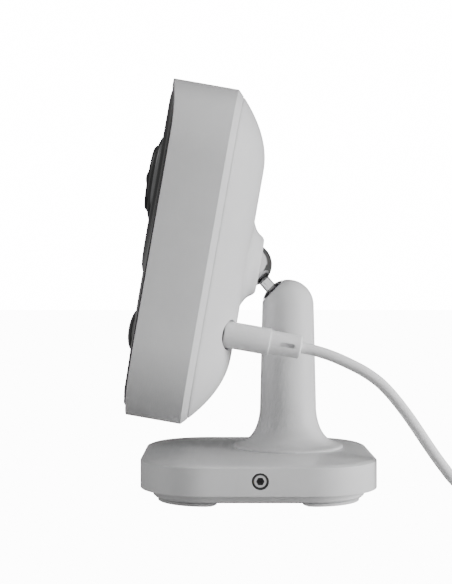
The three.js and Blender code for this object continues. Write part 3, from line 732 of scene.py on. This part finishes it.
def make_front_housing():
    """The white tray around the front panel, open at the front and the rear."""
    section = outline(
        [
            (0, LIP, 0.2),
            (0, RIM, 0.15),
            (BAND, rear_curve(BAND), 0.12),
            (WALL, rear_curve(BAND) - 0.5),
            (WALL, LEDGE + 2.4),
            (LEDGE_DEEP, LEDGE + 1.2),
            (LEDGE_DEEP, LEDGE),
            (1.6, LEDGE),
            (1.6, LIP, 0.3),
        ],
        closed=True,
    )
    rings = [lip_swell(head_ring(inset, along)) for inset, along in section]
    shell = skin("housing_shell", rings, HEAD, closed=True)
    return add(shell, "white_plastic", "head", "front_housing")


def make_front_panel():
    """The glossy panel, in rings that close up along its middle line."""
    middle = HEAD_HALF[0]
    front = []
    for inset in (PANEL_INSET, 2.0, 2.2, 2.6, 3.2, *np.arange(4, middle, PANEL_STEP), middle):
        edge = 0.35 * (1 - smooth(PANEL_INSET, 2.6, inset))
        front.append(panel_swell(finer(head_ring(inset, PANEL_FRONT + edge))))
    back_insets = (PANEL_INSET, 3.2, *range(8, 40, 4), middle)
    back = [panel_swell(finer(head_ring(inset, PANEL_BACK))) for inset in back_insets]
    panel = skin("panel_cover", [*front[::-1], *back], HEAD, sharp=50)
    holes = []
    for name, radius, up in (("lens_hole", LENS_HOLE, LENS_UP), ("motion_hole", MOTION_HOLE, MOTION_UP)):
        holes.append(turned(name, [(0, -42), (radius, -42), (radius, -20), (0, -20)], HEAD, 0, up))
    return add(cut(panel, holes, 50), "piano_black", "head", "front_panel")


def make_rear_cover():
    """One moulding: the crowned back, the socket boss around the ball, and the hollow behind them."""
    plateau = rear_curve(REAR_RUN)
    flat = head_ring(REAR_RUN, plateau)
    angles = np.arctan2(flat[:, 2], flat[:, 0])
    start = BAND + GROOVE
    outer = [start + 0.12, *np.linspace(3.2, REAR_RUN, 20)]
    rings = [head_ring(4.3, -15), head_ring(start, -15), head_ring(start, rear_curve(start) - 0.15)]
    rings += [head_ring(inset, rear_curve(inset)) for inset in outer]
    boss = outline(
        [
            (16.4, plateau),
            (14.2, plateau + 0.15, 1.6),
            (11.2, 0.5, 2.2),
            (9.7, 2.7, 1.0),
            (8.8, 3.2, 0.4),
            (8.25, 3.2, 0.25),
            (7.1, 2.6, 0.2),
            (7.4, 1.6),
            (7.6, 0.5),
            (9.7, 0.4),
            (9.7, -0.6),
            (12.8, -0.6),
            (12.8, -6),
            (14.6, -6),
            (14.8, -3.2),
        ]
    )
    rings += [round_ring(radius, along, angles=angles) for radius, along in boss]
    rings += [head_ring(inset, rear_curve(inset) - 2) for inset in (REAR_RUN, 19, 14, 10, 7)]
    rings += [head_ring(4.3, rear_curve(4.3) - 2.2)]
    cover = skin("rear_moulding", rings, HEAD, closed=True)
    walls = [(0, -12), (JACK_HOLE, -12), (JACK_HOLE, 2), (0, 2)]
    hole = turned("jack_hole", walls, HEAD, JACK_SIDE, JACK_UP)
    return add(cut(cover, [hole]), "white_plastic", "head", "rear_cover")


def make_lens():
    """The lens's collar, its stepped hood and the front glass."""
    collar = outline(
        [
            (14.25, -36.0, 0.4),
            (14.25, -30.5),
            (11.4, -30.5),
            (11.4, -36.6, 0.2),
            (11.8, -36.9, 0.3),
        ],
        closed=True,
    )
    hood = outline(
        [
            (11.1, -37.4, 0.4),
            (11.1, -31),
            (6.3, -31),
            (6.3, -33),
            (4.75, -33.4),
            (4.75, -35.6, 0.2),
            (5.6, -35.9),
            (5.6, -36.3),
            (6.7, -36.5),
            (6.7, -37.0),
            (8.2, -37.3),
            (8.2, -37.8),
            (10.0, -38.25, 0.6),
        ],
        closed=True,
    )
    glass = [*crowned(GLASS_RADIUS, -35.4, GLASS_CROWN, 14), (GLASS_RADIUS, -33), (0, -33)]
    collar = turned("collar_ring", collar, HEAD, 0, LENS_UP, closed=True)
    add(collar, "silver_trim", "head", "lens_collar", finish="smoked_trim")
    hood = turned("hood_ring", hood, HEAD, 0, LENS_UP, closed=True)
    add(hood, "black_plastic", "head", "lens_hood")
    add(turned("front_element", glass, HEAD, 0, LENS_UP), "dark_glass", "head", "lens_glass")


def crowned(radius, along, crown, steps):
    """A profile from the tip of a dome down to its rim."""
    angles = np.linspace(0, math.pi / 2, steps)
    dome = [(radius * math.sin(a), along - crown * math.cos(a)) for a in angles]
    return [(0, dome[0][1]), *dome[1:]]


def make_motion_dome():
    """The small hollow dome over the motion sensor."""
    inside = DOME_RADIUS - DOME_WALL
    inner = crowned(inside, -33.6, 1.4, 8)
    dome = [
        *crowned(DOME_RADIUS, -33.8, DOME_CROWN, 14),
        (DOME_RADIUS, -30.9),
        (inside, -30.9),
        *inner[::-1],
    ]
    add(turned("motion_dome", dome, HEAD, 0, MOTION_UP), "piano_black", "head", "motion_sensor_dome")


def make_power_inlet():
    """The socket ring, the plug's barrel and its boot with a slotted strain relief."""
    ring = outline([(6.2, -10.4), (6.2, -8.6, 0.2), (4.9, -8.6, 0.2), (4.9, -10.4)], closed=True)
    boot = outline(
        [
            (0, -5),
            (BOOT_RADIUS, -5, 0.5),
            (BOOT_RADIUS, BOOT_STEP, 0.15),
            (3.75, BOOT_STEP, 0.1),
            (3.6, BOOT_END - 0.3, 0.2),
            (3.3, BOOT_END, 0.1),
            (0, BOOT_END),
        ]
    )
    seal = turned("socket_seal", ring, HEAD, JACK_SIDE, JACK_UP, closed=True)
    add(seal, "black_plastic", "head", "jack_ring")
    moulding = turned("boot_moulding", boot, HEAD, JACK_SIDE, JACK_UP)
    slots = []
    for side in (-1, 1):
        walls = [
            np.array([(JACK_SIDE + side * depth, along, JACK_UP + up) for along, up in slot_outline()])
            for depth in SLOT_DEPTHS
        ]
        slots.append(skin("slot", [tip_at(walls[0]), *walls, tip_at(walls[1])], HEAD))
    return add(cut(moulding, slots), "grey_plastic", "head", "plug_boot")


def slot_outline():
    """The strain relief's round-ended slot: places along the boot and up it."""
    points = []
    for middle, start in ((SLOT_LAST, -90), (SLOT_FIRST, 90)):
        for degree in range(start, start + 181, 15):
            angle = math.radians(degree)
            points.append((middle + SLOT_RADIUS * math.cos(angle), SLOT_RADIUS * math.sin(angle)))
    return points


# ---------------------------------------------------------------- stand
BASE_CORNER = 21
BASE_BOTTOM = 4.0
BASE_TOP = 14.5
BASE_EDGE = 12.75  # where the upright side ends
BASE_CEILING = 11.8
BASE_WALL = 2.2
LOCK_HOLE = 2.6
PLATE_BOTTOM = 1.3
PLATE_TOP = 5.2
WALL_SCREW_SIDE = 15  # from the base's middle
WALL_SCREW_HOLE = 2.1  # radius


def base_ring(inset, along):
    """One ring of the base's outline, moved in by inset."""
    return boxy_ring((BASE_HALF.x / MM, BASE_HALF.y / MM), BASE_CORNER, inset, along)


def make_base_shell():
    """The base's cover, open below, with a hole in its side for the lock screw."""
    profile = outline(
        [
            (3.4, BASE_CEILING),
            (BASE_WALL, BASE_CEILING - 1),
            (BASE_WALL, BASE_BOTTOM, 0.2),
            (0, BASE_BOTTOM, 0.25),
            (0, BASE_EDGE, 0.12),
            (1.4, BASE_EDGE + 0.6, 0.5),
            (12.0, BASE_TOP, 7),
        ]
    )
    rings = [base_ring(inset, along) for inset, along in profile]
    rings = [tip(BASE_CEILING), *rings, base_ring(20, BASE_TOP), tip(BASE_TOP)]
    shell = skin("base_cover", rings, BASE)
    hole = turned("lock_hole", [(0, 30), (LOCK_HOLE, 30), (LOCK_HOLE, 40), (0, 40)], LOCK)
    add(cut(shell, [hole]), "white_plastic", "stand", "base_shell")


def make_bottom_plate():
    """The plate that closes the base, with two holes for screws into a wall."""
    plate = outline(
        [
            (4.7, PLATE_BOTTOM, 0.3),
            (4.0, PLATE_BOTTOM + 0.6, 0.3),
            (4.0, 3.7),
            (2.5, 4.3),
            (2.5, PLATE_TOP),
        ]
    )
    rings = [tip(PLATE_BOTTOM), *[base_ring(inset, along) for inset, along in plate], tip(PLATE_TOP)]
    bottom_plate = skin("plate_cover", rings, BASE)
    walls = [(0, 0), (WALL_SCREW_HOLE, 0), (WALL_SCREW_HOLE, 8), (0, 8)]
    sides = (-WALL_SCREW_SIDE, WALL_SCREW_SIDE)
    holes = [turned("wall_hole", walls, BASE, x, 0) for x in sides]
    add(cut(bottom_plate, holes), "white_plastic", "stand", "bottom_plate")


FOOT_INSET = 5.6
FOOT_WIDTH = 6.0
FOOT_START = 13.2  # from the base's middle to the foot's end
FOOT_ROUNDING = 3.0
FOOT_HEIGHT = 1.0
FOOT_LIFT = 0.85  # how far the underside rises at the foot's ends


def half_outline(inset, side):
    """One half of the base's outline moved in by inset, from one straight side to the other."""
    half = BASE_HALF.x / MM - inset
    points = rounded_rectangle(half, half, BASE_CORNER - inset)
    kept = [tuple(point) for point in points if side * point[1] > FOOT_START + FOOT_ROUNDING]
    kept.sort(key=lambda point: math.atan2(point[0], side * point[1]))
    ends = [side * (FOOT_START + FOOT_ROUNDING * share) for share in (0, 0.12, 0.3, 0.6)]
    return [*[(-half, y) for y in ends], *kept, *[(half, y) for y in ends[::-1]]]


def make_foot(name, node, side):
    """A flat rubber pad that follows the bottom plate's outline round one half of the base."""
    outer = half_outline(FOOT_INSET, side)
    inner = half_outline(FOOT_INSET + FOOT_WIDTH, side)
    mesh = bpy.data.meshes.new(name)
    body = bmesh.new()

    def row(points, top):
        made = []
        for x, y in points:
            short = 1 - min(1, (side * y - FOOT_START) / FOOT_ROUNDING)
            height = FOOT_HEIGHT if top else FOOT_LIFT * short**2.5
            made.append(body.verts.new(BASE @ Vector((x, height, y))))
        return made

    around = [row(outer, False), row(outer, True), row(inner, True), row(inner, False)]
    for one, two in zip(around, [*around[1:], around[0]]):
        for i in range(len(one) - 1):
            body.faces.new((one[i], one[i + 1], two[i + 1], two[i]))
    for i in (0, -1):
        body.faces.new([line[i] for line in around])
    bmesh.ops.recalc_face_normals(body, faces=body.faces)
    pad = finish_mesh(mesh, body)
    rounded_edges(pad, 0.25, 2, 50)
    return add(pad, "pale_rubber", "stand", node)


SEAT_OUT = 6.95  # the slanted seat's distance from the centre of the round top
CAP_OUT = 7.12
CAP_HEIGHT = 61.7  # centre of the pillar's round top
CAP_RADIUS = 8.6
FLARE_TOP = 27.0
FLARE_RADIUS = 9.4
FLANGE_TOP = 15.4
FLANGE_SINK = 0.28  # how far below the CAD's pillar this one starts, so that it sits in the base's top
HOLLOW = 6.2
NECK_HOLE = 2.15
SEAT = axes(
    SIDE,
    Vector((0, -1, 1)).normalized(),
    Vector((0, 1, 1)).normalized(),
    Vector((0, PILLAR_CENTRE.y, CAP_HEIGHT * MM)),
)


def neck_hole():
    return turned("neck_hole", [(0, 5), (NECK_HOLE, 5), (NECK_HOLE, 20.4), (0, 20.9)], NECK)


def make_pillar():
    """The pillar: a hollow curve from its flange to a slim post, and a round top with a slanted seat."""
    low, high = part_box("pillar")
    flange = (high.x - low.x) / 2 / MM
    foot = low.z / MM - FLANGE_SINK
    start = np.array([flange - 0.25, FLANGE_TOP])
    bend = np.array([FLARE_RADIUS + 0.9, FLANGE_TOP + 1])
    end = np.array([FLARE_RADIUS, FLARE_TOP])
    post = [(0, foot), (flange, foot), (flange, foot + 0.5), (flange - 0.25, foot + 0.78)]
    for t in np.linspace(0.03, 1, 30):
        post.append(tuple((1 - t) ** 2 * start + 2 * t * (1 - t) * bend + t * t * end))
    for t in np.linspace(0.1, 1, 10):
        radius = FLARE_RADIUS + (CAP_RADIUS - FLARE_RADIUS) * t
        post.append((radius, FLARE_TOP + (CAP_HEIGHT - FLARE_TOP) * t))
    for angle in np.linspace(0, math.pi / 2, 26)[1:-1]:
        post.append((CAP_RADIUS * math.cos(angle), CAP_HEIGHT + CAP_RADIUS * math.sin(angle)))
    post.append((0, CAP_HEIGHT + CAP_RADIUS))
    body = turned("pillar_post", post, PILLAR)
    inside = [(0, 10), (HOLLOW, 10), (HOLLOW, 46), (5.4, 51), (3.4, 54), (0, 55)]
    hollow = turned("hollow", inside, PILLAR)
    seat = turned("seat", [(0, SEAT_OUT), (12, SEAT_OUT), (12, 16), (0, 16)], SEAT)
    add(cut(body, [hollow, seat, neck_hole()]), "white_plastic", "stand", "pillar")


def make_stud_cap():
    """The dark cap that completes the pillar's round top over its slanted seat."""
    half = math.acos(CAP_OUT / CAP_RADIUS)
    angles = np.linspace(half, 0, 14)
    dome = [(CAP_RADIUS * math.sin(a), CAP_RADIUS * math.cos(a)) for a in angles]
    edge = (dome[0][0], CAP_OUT)
    cap = turned("cap_dome", [(0, CAP_OUT), edge, *dome[1:-1], (0, CAP_RADIUS)], SEAT)
    add(cut(cap, [neck_hole()]), "black_plastic", "stand", "stud_cap", finish="gloss_black")


BALL_RADIUS = 7.3
NECK_RADIUS = 1.95
NECK_END = 20


def make_ball():
    """The polished ball and its neck, which steps down inside the pillar's top."""
    angles = np.radians(np.linspace(0, 163, 60))
    ball = [(BALL_RADIUS * math.sin(a), -BALL_RADIUS * math.cos(a)) for a in angles[1:]]
    thinner = NECK_RADIUS - 0.1
    stud = outline(
        [
            (NECK_RADIUS, 7.4, 0),
            (NECK_RADIUS, 12.2, 0.2),
            (thinner, 12.6),
            (thinner, NECK_END - 0.4),
            (0, NECK_END),
        ]
    )
    profile = [(0, -BALL_RADIUS), *ball, (2.0, 7.08), *stud]
    add(turned("ball_and_neck", profile, NECK, sharp=45), "polished_steel", "stand", "ball_stud")


SCREW_FACE = 37.5  # from the middle of the base
SCREW_HEAD = 2.0
SCREW_RADIUS = 1.5
BEZEL = (2.57, 2.08)  # outer and inner radius
BEZEL_FROM, BEZEL_TO = 35.95, 37.72
KEY_RADIUS = 1.3
KEY_DEPTH = 1.7
KEY_TIP = 3.3  # depth of the cone at the key hole's end


def make_lock():
    """The lock screw in the side of the base, with a key hole whose inside is painted darker as shade, and
    the ring around it.
    """
    wide, narrow = BEZEL
    ring = outline(
        [(wide, BEZEL_FROM), (wide, BEZEL_TO, 0.12), (narrow, BEZEL_TO, 0.12), (narrow, BEZEL_FROM)],
        closed=True,
    )
    add(turned("lock_bezel", ring, LOCK, closed=True), "black_rubber", "stand", "lock_ring")
    screw = outline(
        [
            (0, 27.8),
            (SCREW_RADIUS - 0.3, 27.8),
            (SCREW_RADIUS, 28.3),
            (SCREW_RADIUS, 36),
            (SCREW_HEAD, 36),
            (SCREW_HEAD, SCREW_FACE, 0.3),
            (0, SCREW_FACE),
        ]
    )
    head = turned("lock_head", screw, LOCK)
    angles = np.radians(range(0, 360, 60))
    sides = np.array([(KEY_RADIUS * math.cos(a), 0, KEY_RADIUS * math.sin(a)) for a in angles])
    near = sides + np.array([0, SCREW_FACE - KEY_DEPTH, 0])
    far = sides + np.array([0, SCREW_FACE + 1.5, 0])
    key = skin("key_hole", [tip(SCREW_FACE - KEY_TIP), near, far, tip_at(far)], LOCK)
    add(cut(head, [key]), "steel", "lock", "lock_screw", finish="bright_steel")
    # painted shade: the key hole's walls and floor take the darker steel copy, standing in for the shade in
    # the recess
    head.data.materials.append(FINISHES["painted_shade_steel"])
    to_millimetres = LOCK.inverted()
    for face in head.data.polygons:
        across, along, up = to_millimetres @ face.center
        if math.hypot(across, up) < 1.25 and 34 < along < SCREW_FACE - 0.1:
            face.material_index = 1


# ---------------------------------------------------------------- room and light
PAPER = 16.0  # how bright the paper behind and under the camera is
PAPER_SHARE = 0.8  # how much of the floor's look is that paper; the rest takes shadows
FLOOR_REACH = 4.0
FLOOR_DROP = 0.00005
ROOM_SIDE = (0.9, 0.25, 0.1)  # the side of the room that is brighter, as a light
ROOM_DARK = 0.13
ROOM_LIGHT = 0.18
ROOM_TURN = 0.15
MIRROR_SIDE = (1.0, 0.1, 0.25)  # the same for what mirrors in the camera
MIRROR_LIGHT = 1.1
MIRROR_TURN = 0.0
MIRROR_FLOOR = (0.01, 0.06)  # the mirrored floor brightens between these places along X
SOFTNESS = 0.15
LIGHT_TARGET = (0, 0, 0.07)
# For each light: place, size, power, and whether it shows in reflections.
LIGHTS = {
    "light_above": ((0.15, -0.4, 0.7), (0.5, 0.5), 0.9, True),
    "light_behind": ((0.27, 0.74, 0.14), (0.3, 0.4), 9.8, False),
    "light_front": ((0.2, -0.8, 0.2), (0.3, 0.5), 1.45, False),
    "light_side": ((0.9, -0.1, 0.2), (0.5, 0.5), 0.12, False),
}


def soft_step(tree, value, start, end, low, high):
    """Goes smoothly from low to high as the value goes from start to end."""
    spread = tree.nodes.new("ShaderNodeMapRange")
    spread.interpolation_type = "SMOOTHSTEP"
    spread.inputs["From Min"].default_value = start
    spread.inputs["From Max"].default_value = end
    spread.inputs["To Min"].default_value = low
    spread.inputs["To Max"].default_value = high
    tree.links.new(value, spread.inputs["Value"])
    return spread.outputs["Result"]


def mirrored_floor(tree):
    """What mirrors see of the floor: as bright as the room in front, dark under and behind."""
    glow = tree.nodes.new("ShaderNodeEmission")
    place = tree.nodes.new("ShaderNodeSeparateXYZ")
    tree.links.new(tree.nodes.new("ShaderNodeTexCoord").outputs["Object"], place.inputs["Vector"])
    strength = soft_step(tree, place.outputs["X"], *MIRROR_FLOOR, ROOM_DARK, MIRROR_LIGHT)
    tree.links.new(strength, glow.inputs["Strength"])
    return glow.outputs["Emission"]


def make_floor():
    """A sheet of pale backlit paper: it looks bright, but throws little light up."""
    mesh = bpy.data.meshes.new("floor")
    body = bmesh.new()
    corners = [(-1, -1), (1, -1), (1, 1), (-1, 1)]
    places = [(x * FLOOR_REACH, y * FLOOR_REACH, -FLOOR_DROP) for x, y in corners]
    body.faces.new([body.verts.new(place) for place in places])
    floor = finish_mesh(mesh, body)
    paper = finish_material("floor_finish", (0.45, 0.45, 0.45), 0.8, vary=0.004, bump=0.0)
    tree = paper.node_tree
    rays = tree.nodes.new("ShaderNodeLightPath")
    lit = tree.nodes.new("ShaderNodeMixShader")
    tree.links.new(rays.outputs["Is Glossy Ray"], lit.inputs["Fac"])
    tree.links.new(tree.nodes["Principled BSDF"].outputs["BSDF"], lit.inputs[1])
    tree.links.new(mirrored_floor(tree), lit.inputs[2])
    glow = tree.nodes.new("ShaderNodeEmission")
    glow.inputs["Strength"].default_value = PAPER
    share = tree.nodes.new("ShaderNodeMath")
    share.operation = "MULTIPLY"
    share.inputs[1].default_value = PAPER_SHARE
    tree.links.new(rays.outputs["Is Camera Ray"], share.inputs[0])
    both = tree.nodes.new("ShaderNodeMixShader")
    tree.links.new(share.outputs[0], both.inputs["Fac"])
    tree.links.new(lit.outputs["Shader"], both.inputs[1])
    tree.links.new(glow.outputs["Emission"], both.inputs[2])
    tree.links.new(both.outputs["Shader"], tree.nodes["Material Output"].inputs["Surface"])
    floor.data.materials.append(paper)


def brightness(tree, towards, turn, bright):
    """How bright the room is in each direction: bright towards one side, dark on the other."""
    facing = tree.nodes.new("ShaderNodeVectorMath")
    facing.operation = "DOT_PRODUCT"
    facing.inputs[1].default_value = Vector(towards).normalized()
    tree.links.new(tree.nodes.new("ShaderNodeTexCoord").outputs["Generated"], facing.inputs[0])
    value = facing.outputs["Value"]
    return soft_step(tree, value, turn - SOFTNESS, turn + SOFTNESS, ROOM_DARK, bright)


def make_world():
    """White paper where the view looks; a dim room lights the camera, and a brighter one mirrors in it."""
    world = bpy.data.worlds.new("studio")
    bpy.context.scene.world = world
    world.use_nodes = True
    tree = world.node_tree
    paper = tree.nodes["Background"]
    paper.inputs["Color"].default_value = (1, 1, 1, 1)
    paper.inputs["Strength"].default_value = PAPER
    room = tree.nodes.new("ShaderNodeBackground")
    room.inputs["Color"].default_value = (1, 1, 1, 1)
    rays = tree.nodes.new("ShaderNodeLightPath")
    strength = tree.nodes.new("ShaderNodeMix")
    tree.links.new(rays.outputs["Is Glossy Ray"], strength.inputs["Factor"])
    tree.links.new(brightness(tree, ROOM_SIDE, ROOM_TURN, ROOM_LIGHT), strength.inputs["A"])
    tree.links.new(brightness(tree, MIRROR_SIDE, MIRROR_TURN, MIRROR_LIGHT), strength.inputs["B"])
    tree.links.new(strength.outputs["Result"], room.inputs["Strength"])
    both = tree.nodes.new("ShaderNodeMixShader")
    tree.links.new(rays.outputs["Is Camera Ray"], both.inputs["Fac"])
    tree.links.new(room.outputs["Background"], both.inputs[1])
    tree.links.new(paper.outputs["Background"], both.inputs[2])
    tree.links.new(both.outputs["Shader"], tree.nodes["World Output"].inputs["Surface"])


def make_lights():
    """The four soft lights, each aimed at the camera's middle."""
    for name, (place, size, power, shows) in LIGHTS.items():
        data = bpy.data.lights.new(name, "AREA")
        data.shape = "RECTANGLE"
        data.size, data.size_y = size
        data.energy = power
        data.spread = math.radians(160)
        light = bpy.data.objects.new(name, data)
        light.location = place
        aim = Vector(LIGHT_TARGET) - Vector(place)
        light.rotation_euler = aim.to_track_quat("-Z", "Y").to_euler()
        light.visible_glossy = shows
        bpy.context.collection.objects.link(light)


# ---------------------------------------------------------------- the whole
boot = make_power_inlet()
make_lead(boot)
make_front_housing()
make_front_panel()
make_rear_cover()
make_lens()
make_motion_dome()
make_base_shell()
make_bottom_plate()
make_foot("pad_front", "foot_front", -1)
make_foot("pad_rear", "foot_rear", 1)
make_pillar()
make_stud_cap()
make_ball()
make_lock()

SLOT_OF = {part["node"]: part["material_slot"] for part in RECORD["subparts"]}
for node, carried in frame["nodes"].items():
    carried.data.materials.clear()
    carried.data.materials.append(FINISHES[SLOT_OF[node]])

make_floor()
make_world()
make_lights()
